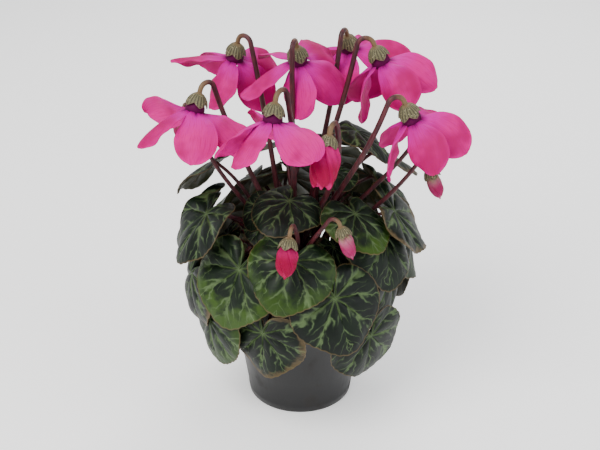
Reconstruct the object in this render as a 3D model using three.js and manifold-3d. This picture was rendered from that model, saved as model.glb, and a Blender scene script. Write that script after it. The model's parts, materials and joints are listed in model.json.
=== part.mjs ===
import * as THREE from "three";
import { mergeVertices } from "three/addons/utils/BufferGeometryUtils.js";
import Module from "manifold-3d";

// A cyclamen in flower in a grower's pot. Millimetres, +Z up. The pot stands on z = 0 with its axis on the
// z axis, and the side of the plant seen in the photograph faces -Y, its right hand side +X.

// Pot: a thin-walled round plastic pot, wider at the top, with a band under the rim.
const POT_HEIGHT = 108;
const POT_TOP_RADIUS = 60;
const POT_BASE_RADIUS = 44;
const POT_WALL = 1;
const POT_FLOOR = 1.4;
const POT_BAND = 15;
const POT_SIDES = 32;
const DRAIN_HOLES = 8;
const DRAIN_HOLE_RADIUS = 4;
const DRAIN_RING_RADIUS = 30;

// Soil and the tuber that sits half in it.
const SOIL_LEVEL = 96;
const SOIL_SWELL = 0.9; // how far its surface rolls up and down
const TUBER_RADIUS = 24;
const TUBER_HALF_HEIGHT = 14;
const TUBER_LEVEL = 97;
const FIT_GAP = 0.35; // between pieces that touch in the real plant

// Stalks spring from the top of the tuber, in a spiral.
const GOLDEN_ANGLE = THREE.MathUtils.degToRad(137.508);
const CROWN_PITCH = 2.75;
const SPARE_SLOTS = 8; // places in the spiral beyond one for each leaf and flower

// Leaves: blades on a bowl turned upside down over the pot.
const LEAF_COUNT = 36;
const LEAF_TIP_LENGTH = 48; // from the stalk to the tip of a middling leaf
const LEAF_THICKNESS = 0.8;
const CANOPY_RADIUS = 95;
const CANOPY_RISE = 127;
const CANOPY_LEVEL = 124;
const FIRST_POLAR = 21;
const LAST_POLAR = 115;
const STEEPEST_LEAF = 92; // degrees that a blade hangs down from level at most
const PETIOLE_RADIUS = 1.7;
const LEAF_TRIES = 300;
const LEAF_SEED = 1300;

// Flowers.
const PETAL_LENGTH = 46;
const PETAL_HALF_WIDTH = 16;
const PETAL_ROOT_HALF_WIDTH = 3.2;
const PETAL_ROWS = [0, 0.3, 0.6, 0.86, 1]; // shares of its length
const PETAL_THICKNESS = 0.8;
const HALF_OPEN_LENGTH = 31; // the petals of a half-open flower, from the calyx to their tips
const HALF_OPEN_RADIUS = 10.5;
const HALF_OPEN_MOUTH = 0.55; // its radius at the tips, as a share of the widest
const HALF_OPEN_SCALE = 0.9;
const BUD_LENGTH = 26;
const BUD_RADIUS = 7.4;
const BUD_MOUTH = 0.22;
const CALYX_HEIGHT = 9;
const STALK_RADIUS = 2.2;
const CROOK_RADIUS = 6.5;
const BLOOM_TRIES = 240;

const wasm = await Module();
wasm.setup();

const TAU = 2 * Math.PI;
const rad = THREE.MathUtils.degToRad;
const vec = (x, y, z) => new THREE.Vector3(x, y, z);
const UP = vec(0, 0, 1);

// A sum of vectors, each given with its factor: blend([a, 2], [b, -1]) is 2a - b.
function blend(...parts) {
  const sum = vec(0, 0, 0);
  for (const [v, factor] of parts) sum.addScaledVector(v, factor);
  return sum;
}

// A repeatable draw from 0 to 1 for property k of item i, and the same from -1 to 1.
function draw(i, k) {
  const s = Math.sin(i * 127.1 + k * 311.7) * 43758.5453;
  return s - Math.floor(s);
}
const swing = (i, k) => 2 * draw(i, k) - 1;

// A closed solid from points and triangles.
function solidOf(points, faces) {
  const flat = new Float32Array(points.length * 3);
  points.forEach((p, n) => p.toArray(flat, 3 * n));
  return new wasm.Manifold(
    new wasm.Mesh({ numProp: 3, vertProperties: flat, triVerts: new Uint32Array(faces.flat()) }),
  );
}

// A solid from a geometry of three.js, its repeated corners merged and its empty triangles dropped.
function solidFrom(geometry) {
  geometry.deleteAttribute("uv");
  geometry.deleteAttribute("normal");
  const merged = mergeVertices(geometry, 1e-4);
  const at = merged.getAttribute("position");
  const points = [];
  for (let n = 0; n < at.count; n++) points.push(vec(at.getX(n), at.getY(n), at.getZ(n)));
  const faces = [];
  const index = merged.index.array;
  for (let n = 0; n < index.length; n += 3) {
    const [a, b, c] = index.slice(n, n + 3);
    if (a !== b && b !== c && a !== c) faces.push([a, b, c]);
  }
  const made = solidOf(points, faces);
  return made.volume() > 0 ? made : solidOf(points, faces.map(([a, b, c]) => [a, c, b]));
}

// A body turned about the z axis from a profile of [radius, height] points.
function turned(profile, sides) {
  const points = profile.map(([r, z]) => new THREE.Vector2(r, z));
  return solidFrom(new THREE.LatheGeometry(points, sides).rotateX(Math.PI / 2));
}

// A body from rings of corners stacked along it, closed at each end by a point or by a flat fan.
function ringed(rings, firstPole, lastPole) {
  const count = rings[0].length;
  const points = rings.flat();
  const faces = [];
  for (let n = 0; n + 1 < rings.length; n++) {
    for (let s = 0; s < count; s++) {
      const a = n * count + s;
      const b = n * count + ((s + 1) % count);
      faces.push([a, b, b + count], [a, b + count, a + count]);
    }
  }
  const last = (rings.length - 1) * count;
  if (firstPole) {
    points.push(firstPole);
    for (let s = 0; s < count; s++) faces.push([points.length - 1, (s + 1) % count, s]);
  } else {
    for (let s = 1; s + 1 < count; s++) faces.push([0, s + 1, s]);
  }
  if (lastPole) {
    points.push(lastPole);
    for (let s = 0; s < count; s++) faces.push([points.length - 1, last + s, last + ((s + 1) % count)]);
  } else {
    for (let s = 1; s + 1 < count; s++) faces.push([last, last + s, last + s + 1]);
  }
  return solidOf(points, faces);
}

// A round bar along a path; its radius is given for the share of the way along it.
function bar(path, radiusAt, sides) {
  let across = null;
  const rings = path.map((p, n) => {
    const next = path[Math.min(n + 1, path.length - 1)];
    const along = blend([next, 1], [path[Math.max(n - 1, 0)], -1]).normalize();
    if (!across) across = Math.abs(along.z) > 0.9 ? vec(1, 0, 0) : vec(0, 0, 1);
    across = blend([across, 1], [along, -across.dot(along)]).normalize();
    const over = along.clone().cross(across);
    const radius = radiusAt(n / (path.length - 1));
    const ring = [];
    for (let s = 0; s < sides; s++) {
      const turn = (TAU * s) / sides;
      ring.push(blend([p, 1], [across, radius * Math.cos(turn)], [over, radius * Math.sin(turn)]));
    }
    return ring;
  });
  return ringed(rings);
}

// A thin sheet thickened to both sides of its points. The border lists its edge, anticlockwise from above.
function sheet(points, faces, border, thicknessAt) {
  const normals = points.map(() => vec(0, 0, 0));
  for (const [a, b, c] of faces) {
    const ab = blend([points[b], 1], [points[a], -1]);
    const ac = blend([points[c], 1], [points[a], -1]);
    const normal = ab.cross(ac);
    for (const n of [a, b, c]) normals[n].add(normal);
  }
  normals.forEach((n) => n.normalize());
  const half = points.map((p, n) => thicknessAt(n) / 2);
  const both = [
    ...points.map((p, n) => blend([p, 1], [normals[n], half[n]])),
    ...points.map((p, n) => blend([p, 1], [normals[n], -half[n]])),
  ];
  const count = points.length;
  const all = [...faces, ...faces.map(([a, b, c]) => [a + count, c + count, b + count])];
  border.forEach((a, n) => {
    const b = border[(n + 1) % border.length];
    all.push([a + count, b + count, b], [a + count, b, a]);
  });
  return solidOf(both, all);
}

const group = new THREE.Group();

function add(name, solid, colour) {
  const mesh = solid.getMesh();
  const geometry = new THREE.BufferGeometry();
  geometry.setAttribute("position", new THREE.BufferAttribute(mesh.vertProperties, 3));
  geometry.setIndex(new THREE.BufferAttribute(mesh.triVerts, 1));
  geometry.computeVertexNormals();
  const node = new THREE.Mesh(geometry, new THREE.MeshStandardMaterial({ color: colour, flatShading: true }));
  node.name = name;
  group.add(node);
}

// Pieces already in place, so that what comes later is bent clear of them.
const placed = [];

function place(solid) {
  placed.push({ solid, box: solid.boundingBox() });
}

// Whether two boxes lie further apart than the gap along one of the axes.
function boxesApart(one, two, gap) {
  return [0, 1, 2].some((axis) => one.min[axis] > two.max[axis] + gap || two.min[axis] > one.max[axis] + gap);
}

function isClear(solid, gap) {
  const box = solid.boundingBox();
  return placed.every(
    (other) => boxesApart(box, other.box, gap) || solid.minGap(other.solid, gap + 0.1) >= gap,
  );
}

// ---------------------------------------------------------------------------------------------------- Pot
const bandFoot = POT_HEIGHT - POT_BAND;
const wallTop = POT_TOP_RADIUS - 2.6;
const potProfile = [
  [0, 0],
  [POT_BASE_RADIUS - 1, 0],
  [POT_BASE_RADIUS, 1],
  [wallTop, bandFoot - 1.5],
  [POT_TOP_RADIUS - 0.9, bandFoot],
  [POT_TOP_RADIUS, POT_HEIGHT - 1.2],
  [POT_TOP_RADIUS - 0.5, POT_HEIGHT],
  [POT_TOP_RADIUS - 1.3, POT_HEIGHT - 0.2],
  [POT_TOP_RADIUS - 2.1, bandFoot + 1],
  [wallTop - POT_WALL, bandFoot - 1],
  [POT_BASE_RADIUS - POT_WALL, POT_FLOOR],
  [0, POT_FLOOR],
];
let pot = turned(potProfile, POT_SIDES);
for (let n = 0; n < DRAIN_HOLES; n++) {
  const turn = (TAU * (n + 0.5)) / DRAIN_HOLES;
  const hole = new THREE.CylinderGeometry(DRAIN_HOLE_RADIUS, DRAIN_HOLE_RADIUS, 6, 8)
    .rotateX(Math.PI / 2)
    .translate(DRAIN_RING_RADIUS * Math.cos(turn), DRAIN_RING_RADIUS * Math.sin(turn), 0.5);
  pot = pot.subtract(solidFrom(hole));
}
add("pot", pot, "#26272a");
place(pot);

// ------------------------------------------------------------------------------------------ Tuber and soil
// The tuber is a flattened ball; its outline is given a margin when it is cut out of the soil.
function tuberBody(margin) {
  const profile = [];
  for (let n = 0; n <= 8; n++) {
    const polar = (Math.PI * n) / 8;
    profile.push([
      n % 8 ? (TUBER_RADIUS + margin) * Math.sin(polar) : 0,
      TUBER_LEVEL - (TUBER_HALF_HEIGHT + margin) * Math.cos(polar),
    ]);
  }
  return turned(profile, 18);
}

// The foot of stalk number n of the spiral: where it leaves the tuber and the way it points there.
function crownSlot(n) {
  const radius = CROWN_PITCH * Math.sqrt(n + 0.5);
  const azimuth = n * GOLDEN_ANGLE;
  const share = radius / TUBER_RADIUS;
  const rest = Math.sqrt(1 - share * share);
  const outward = vec(Math.cos(azimuth), Math.sin(azimuth), 0);
  const foot = blend([outward, radius], [UP, TUBER_LEVEL + TUBER_HALF_HEIGHT * rest]);
  const way = blend([outward, share / TUBER_RADIUS], [UP, rest / TUBER_HALF_HEIGHT]).normalize();
  return { foot, way };
}

const soilTopRadius = POT_TOP_RADIUS - 2.1 - FIT_GAP - 0.4;
const soilProfile = [
  [0, POT_FLOOR + FIT_GAP],
  [POT_BASE_RADIUS - POT_WALL - FIT_GAP - 0.4, POT_FLOOR + FIT_GAP],
  [wallTop - POT_WALL - FIT_GAP - 0.3, bandFoot - 1],
  [soilTopRadius, bandFoot + 1.4],
  [soilTopRadius - 1.5, SOIL_LEVEL],
  [50, SOIL_LEVEL],
  [40, SOIL_LEVEL],
  [30, SOIL_LEVEL],
  [0, SOIL_LEVEL],
];
const soilShape = new THREE.LatheGeometry(
  soilProfile.map(([r, z]) => new THREE.Vector2(r, z)),
  24,
).rotateX(Math.PI / 2);
const soilPoints = soilShape.getAttribute("position");
for (let n = 0; n < soilPoints.count; n++) {
  const [x, y, z] = [soilPoints.getX(n), soilPoints.getY(n), soilPoints.getZ(n)];
  const rolled = z + SOIL_SWELL * Math.sin(0.21 * x + 1) + SOIL_SWELL * Math.cos(0.17 * y + 0.09 * x);
  if (z > SOIL_LEVEL - 0.5) soilPoints.setZ(n, rolled);
}
const soil = solidFrom(soilShape).subtract(tuberBody(FIT_GAP));
add("soil", soil, "#3b2a1e");
add("tuber", tuberBody(0), "#5a3d28");
place(soil);

// --------------------------------------------------------------------------------------------- Flower stalks
// The stalk rises from its slot, leans out, and turns over in a crook from which the flower hangs.
// A flower's frame: hand points from the stalk to the flower, up from its petals to its calyx.
function flowerFrame(azimuth, reach, height, handTurn, tilt, scale) {
  const outward = vec(Math.cos(azimuth), Math.sin(azimuth), 0);
  const hand = vec(Math.cos(azimuth + handTurn), Math.sin(azimuth + handTurn), 0);
  const up = blend([UP, Math.cos(tilt)], [hand, -Math.sin(tilt)]);
  const side = UP.clone().cross(hand).normalize();
  const fore = side.clone().cross(up);
  const base = blend([outward, reach], [UP, height - (CALYX_HEIGHT + 2 + CROOK_RADIUS) * scale]);
  return { base, up, hand, side, fore, tilt, scale };
}

function inFrame(frame, fore, side, up) {
  return blend([frame.base, 1], [frame.fore, fore], [frame.side, side], [frame.up, up]);
}

// The same, given by its distance from the flower's axis and its turn round it.
function roundFrame(frame, radius, turn, up) {
  return inFrame(frame, radius * Math.cos(turn), radius * Math.sin(turn), up);
}

function stalkPath(frame, slot, lean) {
  const { scale, tilt, up, hand } = frame;
  const radius = CROOK_RADIUS * scale;
  const top = inFrame(frame, 0, 0, CALYX_HEIGHT * scale);
  const back = blend([hand, -Math.cos(tilt)], [UP, -Math.sin(tilt)]);
  const centre = blend([top, 1], [up, 2 * scale], [back, radius]);
  const end = Math.PI - tilt - lean;
  const crook = [inFrame(frame, 0, 0, (CALYX_HEIGHT - 3) * scale)];
  for (let n = 0; n <= 4; n++) {
    const turn = (end * n) / 4;
    crook.push(blend([centre, 1], [back, -radius * Math.cos(turn)], [up, radius * Math.sin(turn)]));
  }
  const down = blend([back, Math.sin(end)], [up, Math.cos(end)]);
  const elbow = crook[crook.length - 1];
  const start = blend([slot.foot, 1], [slot.way, 2]);
  const far = start.distanceTo(elbow);
  const rise = new THREE.CubicBezierCurve3(
    start,
    blend([start, 1], [slot.way, 0.3 * far], [UP, 0.1 * far]),
    blend([elbow, 1], [down, 0.4 * far]),
    elbow,
  );
  const shaft = [];
  for (let n = 0; n < 6; n++) shaft.push(rise.getPoint(n / 6));
  return [blend([slot.foot, 1], [slot.way, FIT_GAP]), ...shaft, ...crook.reverse()];
}

// The calyx: a dome of five sepals whose tips reach down over the base of the corolla.
function calyxBody(frame) {
  const rings = [];
  const heights = [-2.2, 3, 7.2];
  const radii = [8.5, 7.9, 4.6];
  heights.forEach((height, n) => {
    const ring = [];
    for (let s = 0; s < 10; s++) {
      const turn = (TAU * s) / 10;
      const notch = n === 0 && s % 2 ? 1 : 0;
      const r = (radii[n] - 0.5 * notch) * (n > 0 && s % 2 ? 0.93 : 1) * frame.scale;
      ring.push(roundFrame(frame, r, turn, (height + 3.2 * notch) * frame.scale));
    }
    rings.push(ring);
  });
  return ringed(
    rings,
    inFrame(frame, 0, 0, -frame.scale),
    inFrame(frame, 0, 0, CALYX_HEIGHT * frame.scale),
  );
}

// The base of the corolla: a short round cup under the calyx, from which the petals spring.
function corollaBase(frame, margin) {
  const rings = [];
  const heights = [-8.5, -4, 0.6];
  const radii = [5.2, 7.4, 5.6];
  heights.forEach((height, n) => {
    const ring = [];
    for (let s = 0; s < 10; s++) {
      const turn = (TAU * s) / 10;
      const r = radii[n] * frame.scale + margin;
      ring.push(roundFrame(frame, r, turn, height * frame.scale + (n > 1 ? margin : 0)));
    }
    rings.push(ring);
  });
  return ringed(
    rings,
    inFrame(frame, 0, 0, -10 * frame.scale - margin),
    inFrame(frame, 0, 0, 2.2 * frame.scale + margin),
  );
}

// One petal of an open flower, number j of five: it springs outward, arches over and hangs like a skirt.
function petalBody(frame, flower, j, twirl) {
  const item = 10 * flower + j;
  const turn = (TAU * j) / 5 + twirl + 0.16 * swing(item, 1);
  const lifted = draw(item, 2) > 0.66 ? 1 : 0;
  const rise = rad(20 - 12 * lifted + 6 * swing(item, 3));
  const fall = rad(68 - 34 * lifted + 10 * swing(item, 4));
  const length = PETAL_LENGTH * (1 + 0.07 * swing(item, 5));
  const fold = 0.3 + 0.16 * swing(item, 6);
  const lean = rad(26 + 8 * swing(item, 7));
  const twist = rad(8 + 16 * swing(item, 8));
  const phase = TAU * draw(item, 9);
  const outward = blend([frame.fore, Math.cos(turn)], [frame.side, Math.sin(turn)]);
  const around = blend([frame.fore, -Math.sin(turn)], [frame.side, Math.cos(turn)]);
  const start = inFrame(frame, 0, 0, -5);
  start.addScaledVector(outward, 5.2);
  const [near, beyond] = [0.42 * length, 0.64 * length];
  const bend = blend([start, 1], [outward, near * Math.cos(rise)], [frame.up, -near * Math.sin(rise)]);
  const tip = blend([bend, 1], [outward, beyond * Math.cos(fall)], [frame.up, -beyond * Math.sin(fall)]);
  const points = [];
  const rows = PETAL_ROWS.length;
  const columns = 3;
  for (let row = 0; row < rows; row++) {
    const s = PETAL_ROWS[row];
    const middle = blend([start, (1 - s) * (1 - s)], [bend, 2 * s * (1 - s)], [tip, s * s]);
    const along = blend([start, s - 1], [bend, 1 - 2 * s], [tip, s]).normalize();
    const normal = along.clone().cross(around);
    const roll = lean * Math.min(1, 3 * s) + twist * s;
    const broad = blend([around, Math.cos(roll)], [normal, Math.sin(roll)]);
    const out = blend([normal, Math.cos(roll)], [around, -Math.sin(roll)]);
    const swell = s < 1 ? Math.pow(Math.sin(Math.PI * Math.pow(s, 1.55)), 0.65) : 0;
    const half = PETAL_ROOT_HALF_WIDTH + (PETAL_HALF_WIDTH - PETAL_ROOT_HALF_WIDTH) * swell;
    for (let column = 0; column < columns; column++) {
      const v = (2 * column) / (columns - 1) - 1;
      const wave = 1.3 * Math.abs(v) * s * Math.sin(9 * s + 2 * v + phase);
      const lift = -fold * half * Math.pow(Math.abs(v), 1.6) + wave;
      points.push(blend([middle, 1], [broad, v * half], [out, lift]));
    }
  }
  const faces = [];
  for (let row = 0; row + 1 < rows; row++) {
    for (let column = 0; column + 1 < columns; column++) {
      const a = row * columns + column;
      faces.push([a, a + columns, a + columns + 1], [a, a + columns + 1, a + 1]);
    }
  }
  const border = [];
  for (let row = 0; row < rows; row++) border.push(row * columns);
  for (let column = 1; column < columns; column++) border.push((rows - 1) * columns + column);
  for (let row = rows - 2; row >= 0; row--) border.push(row * columns + columns - 1);
  for (let column = columns - 2; column > 0; column--) border.push(column);
  return sheet(points, faces, border, () => PETAL_THICKNESS);
}

// A corolla still furled: five petals wound round each other. The mouth is a share of the widest radius.
function furledBody(frame, length, width, mouth, margin) {
  const rings = [];
  const shares = [1, 0.7, 0.35, 0.1];
  const radii = [mouth, 0.86, 1, 0.7];
  shares.forEach((share, n) => {
    const ring = [];
    for (let s = 0; s < 10; s++) {
      const turn = (TAU * s) / 10 + 1.5 * share;
      const r = width * radii[n] * (s % 2 ? 0.78 : 1) + margin;
      ring.push(roundFrame(frame, r, turn, 1 - length * share + (n > 2 ? margin : 0)));
    }
    rings.push(ring);
  });
  const point = inFrame(frame, 0, 0, -0.06 * length - length - margin);
  return ringed(rings, point, inFrame(frame, 0, 0, 1.5 + margin));
}

// Each flower: its slot on the tuber, which way it leans, how far out it hangs, and the height of its crook.
const FLOWERS = [
  { name: "bloom_01", slot: 12, azimuth: -156, reach: 84, height: 292 },
  { name: "bloom_02", slot: 7, azimuth: -110, reach: 64, height: 294 },
  { name: "bloom_03", slot: 0, azimuth: 4, reach: 60, height: 316 },
  { name: "bloom_04", slot: 5, azimuth: -32, reach: 94, height: 290 },
  { name: "bloom_05", slot: 1, azimuth: 100, reach: 12, height: 314 },
  { name: "bloom_06", slot: 11, azimuth: 62, reach: 72, height: 304 },
  { name: "bloom_07", slot: 9, azimuth: 136, reach: 72, height: 304 },
  { name: "bloom_08", slot: 15, azimuth: -76, reach: 82, height: 276, furled: true },
  { name: "bud_01", slot: 13, azimuth: -8, reach: 108, height: 252, bud: 0.8, plump: 1 },
  { name: "bud_02", slot: 26, azimuth: -17, reach: 106, height: 228, bud: 0.78, plump: 1, late: true },
  { name: "bud_03", slot: 17, azimuth: 178, reach: 92, height: 264, bud: 0.82, plump: 1 },
  { name: "bud_04", slot: 28, azimuth: -95, reach: 98, height: 203, bud: 0.88, plump: 1.25, late: true },
  { name: "bud_05", slot: 23, azimuth: -70, reach: 93, height: 206, bud: 0.76, plump: 1, late: true },
];

// A flower's stalk and its petals, or the one solid of a bud; k counts the tries to bend it clear.
function flowerParts(flower, number, k) {
  const bend = (flower.late ? 3 : 1) * (k / BLOOM_TRIES);
  const item = 40 + number;
  const scale = flower.bud || (flower.furled ? HALF_OPEN_SCALE : 1);
  const azimuth = rad(flower.azimuth + 16 * bend * swing(item, 100 + k));
  const reach = flower.reach + 16 * bend * swing(item, 200 + k);
  const height = flower.height + 12 * bend * swing(item, 300 + k);
  const handTurn = rad(50 * swing(item, 10));
  const tilt = rad(14 + 10 * draw(item, 11));
  const frame = flowerFrame(azimuth, reach, height, handTurn, tilt, scale);
  const slot = crownSlot(flower.slot);
  const lean = 0.8 * Math.atan2(reach - 14, height - 120);
  const path = stalkPath(frame, slot, lean);
  const thin = flower.bud ? 0.8 : 1;
  const stalk = bar(path, (s) => thin * STALK_RADIUS * (1 - 0.12 * s), 5).add(calyxBody(frame));
  if (flower.bud) {
    const width = BUD_RADIUS * flower.plump * scale;
    return [stalk.add(furledBody(frame, BUD_LENGTH * scale, width, BUD_MOUTH, 0))];
  }
  if (flower.furled) {
    const petals = (margin) => furledBody(frame, HALF_OPEN_LENGTH, HALF_OPEN_RADIUS, HALF_OPEN_MOUTH, margin);
    return [stalk.subtract(petals(FIT_GAP)), petals(0)];
  }
  let corolla = corollaBase(frame, 0);
  const twirl = TAU * draw(item, 12) + 1.2 * bend * swing(item, 400 + k);
  for (let j = 0; j < 5; j++) corolla = corolla.add(petalBody(frame, 50 + number, j, twirl));
  return [stalk.subtract(corollaBase(frame, FIT_GAP)), corolla];
}

function placeFlower(flower, number) {
  for (let k = 0; k <= BLOOM_TRIES; k++) {
    const parts = flowerParts(flower, number, k);
    if (!parts.every((solid) => isClear(solid, 0.5))) continue;
    if (parts.length === 2 && parts[0].minGap(parts[1], 1) < 0.2) continue;
    parts.forEach(place);
    if (flower.bud) add(flower.name, parts[0], "#8a4a52");
    else {
      add(flower.name + "_stalk", parts[0], "#6b4a34");
      add(flower.name + "_petals", parts[1], "#d81f6e");
    }
    return;
  }
  throw new Error(flower.name + " finds no clear place");
}

// The tall flowers come first.
FLOWERS.forEach((flower, number) => {
  if (!flower.late) placeFlower(flower, number);
});

// ---------------------------------------------------------------------------------------------------- Leaves
// The outline of a heart-shaped blade: its reach from the stalk in each direction, the tip at angle 0.
function outline(angle) {
  const away = Math.PI - Math.abs(angle);
  const tip = 0.86 + 0.14 * Math.exp(-Math.pow(angle / 0.38, 2));
  const back = 1 - 0.42 * Math.pow((1 - Math.cos(angle)) / 2, 2.2);
  return tip * back * (1 - 0.84 * Math.exp(-Math.pow(away / 0.32, 2)));
}

const LEAF_ANGLES = [
  -2.84, -2.45, -1.95, -1.45, -0.95, -0.45, 0, 0.45, 0.95, 1.45, 1.95, 2.45, 2.84, Math.PI,
];
const LEAF_RINGS = [0.55, 1];

// Each leaf springs from a slot that no flower takes: of the ten innermost still free, the one that points
// most nearly the leaf's own way.
const freeSlots = [];
for (let n = 0; n < LEAF_COUNT + FLOWERS.length + SPARE_SLOTS; n++) {
  if (!FLOWERS.some((flower) => flower.slot === n)) freeSlots.push(n);
}
const leafSlots = [];
for (let i = 0; i < LEAF_COUNT; i++) {
  const nearness = (n) => Math.cos((freeSlots[n] - i) * GOLDEN_ANGLE);
  let best = 0;
  for (let n = 1; n < Math.min(10, freeSlots.length); n++) {
    if (nearness(n) > nearness(best)) best = n;
  }
  leafSlots.push(freeSlots.splice(best, 1)[0]);
}

// Where leaf i stands and how it is bent. Polar runs from the crown down the dome of leaves, and k counts
// the tries, each free to bend it a little further than the last.
function leafPlan(i, k) {
  const bend = k / LEAF_TRIES;
  const share = (i + 0.5) / LEAF_COUNT;
  const item = LEAF_SEED + i;
  const first = Math.cos(rad(FIRST_POLAR));
  const spread = first - share * (first - Math.cos(rad(LAST_POLAR)));
  const polar = Math.acos(spread) + rad(24 * bend * swing(item, 500 + k));
  const azimuth = i * GOLDEN_ANGLE + rad(6 * swing(item, 21) + 32 * bend * swing(item, 700 + k));
  const young = i < 12 && i % 3 === 1;
  const inner = young ? 0.66 : i % 4 === 2 ? 0.86 : 1;
  const shell = inner * (1 + 0.03 * swing(item, 22) - 0.26 * bend * draw(item, 900 + k));
  const hang = (0.42 + 0.24 * polar) * polar + rad(6 * swing(item, 23) + 24 * bend * swing(item, 1100 + k));
  const droop = Math.min(hang, rad(STEEPEST_LEAF));
  const yaw = rad(26 * swing(item, 24) + 20 * bend * swing(item, 1300 + k));
  const roll = rad(10 * swing(item, 25) + 20 * bend * swing(item, 1500 + k));
  const growth = 0.8 + 0.24 * Math.pow(share, 0.6) + 0.07 * swing(item, 26);
  const size = (young ? 0.6 : 1) * LEAF_TIP_LENGTH * growth * (1 - 0.14 * bend);
  const outward = vec(Math.cos(azimuth), Math.sin(azimuth), 0);
  const around = vec(-Math.sin(azimuth), Math.cos(azimuth), 0);
  const lay = blend([outward, Math.cos(droop)], [UP, -Math.sin(droop)]);
  const face = blend([outward, Math.sin(droop)], [UP, Math.cos(droop)]);
  const midrib = blend([lay, Math.cos(yaw)], [around, Math.sin(yaw)]);
  const level = face.clone().cross(midrib);
  const normal = blend([face, Math.cos(roll)], [level, Math.sin(roll)]);
  const side = normal.clone().cross(midrib);
  const radius = CANOPY_RADIUS * shell * Math.pow(Math.sin(Math.min(polar, Math.PI / 2)), 0.85);
  const centre = blend([outward, radius], [UP, CANOPY_LEVEL + CANOPY_RISE * shell * Math.cos(polar)]);
  const joint = blend([centre, 1], [midrib, -0.3 * size]);
  return {
    joint,
    midrib,
    side,
    normal,
    size,
    arch: 0.12 + 0.2 * Math.pow(share, 2) + 0.24 * bend * draw(item, 1700 + k),
    sideBend: -0.2 + 0.2 * swing(item, 27),
    tipBend: -0.16 + 0.12 * swing(item, 28),
    lobeBend: -0.04 + 0.1 * swing(item, 29),
    wave: 0.055 + 0.03 * swing(item, 30),
    waves: 4 + Math.floor(3 * draw(item, 31)),
    phase: TAU * draw(item, 32),
  };
}

// A point of the blade: the angle from its tip and the share of the way out to its edge.
function bladePoint(plan, angle, share) {
  const reach = outline(angle) * share;
  const x = reach * Math.cos(angle);
  const y = reach * Math.sin(angle);
  const bow = plan.sideBend * y * y + (x > 0 ? plan.tipBend : plan.lobeBend) * x * x;
  const ripple = plan.wave * Math.pow(share, 3) * Math.sin(plan.waves * angle + plan.phase);
  const { joint, midrib, side, normal, size } = plan;
  return blend([joint, 1], [midrib, size * x], [side, size * y], [normal, size * (bow + ripple)]);
}

function bladeBody(plan) {
  const points = [plan.joint.clone()];
  for (const share of LEAF_RINGS) {
    for (const angle of LEAF_ANGLES) points.push(bladePoint(plan, angle, share));
  }
  const count = LEAF_ANGLES.length;
  const faces = [];
  for (let s = 0; s < count; s++) {
    const [a, b] = [1 + s, 1 + ((s + 1) % count)];
    faces.push([0, a, b], [a, a + count, b + count], [a, b + count, b]);
  }
  const border = LEAF_ANGLES.map((angle, s) => 1 + count + s);
  return sheet(points, faces, border, (n) => (n === 0 ? 2.4 : LEAF_THICKNESS));
}

function petioleBody(plan, slot) {
  const start = blend([slot.foot, 1], [slot.way, 2]);
  const end = blend([plan.joint, 1], [plan.normal, -0.3]);
  const arrive = blend([plan.normal, 0.78], [plan.midrib, 0.62]).normalize();
  const far = start.distanceTo(end);
  const curve = new THREE.CubicBezierCurve3(
    start,
    blend([start, 1], [slot.way, 0.35 * far], [UP, plan.arch * far]),
    blend([end, 1], [arrive, -0.34 * far]),
    end,
  );
  const path = [blend([slot.foot, 1], [slot.way, FIT_GAP])];
  for (let n = 0; n <= 5; n++) path.push(curve.getPoint(n / 5));
  return bar(path, () => PETIOLE_RADIUS, 5);
}

for (let i = 0; i < LEAF_COUNT; i++) {
  const slot = crownSlot(leafSlots[i]);
  let made = null;
  for (let k = 0; k <= LEAF_TRIES && !made; k++) {
    const plan = leafPlan(i, k);
    const petiole = petioleBody(plan, slot);
    if (!isClear(petiole, 0.5)) continue;
    const blade = bladeBody(plan);
    if (!isClear(blade, 0.5)) continue;
    made = blade.add(petiole);
    place(blade);
    place(petiole);
  }
  const name = "leaf_" + String(i + 1).padStart(2, "0");
  if (!made) throw new Error(name + " finds no clear place");
  add(name, made, "#2f4a35");
}

// The late buds, bent clear of flowers and leaves.
FLOWERS.forEach((flower, number) => {
  if (flower.late) placeFlower(flower, number);
});

export default group;
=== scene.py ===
"""A cyclamen in flower in its grower's pot. The plant's lengths are in millimetres until a mesh is made of
them. The camera, the floor and the lights are placed in metres."""

import json
from math import acos, atan2, cos, exp, pi, radians, sin, sqrt

import bpy
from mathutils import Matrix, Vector, noise
from mathutils.bvhtree import BVHTree

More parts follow.
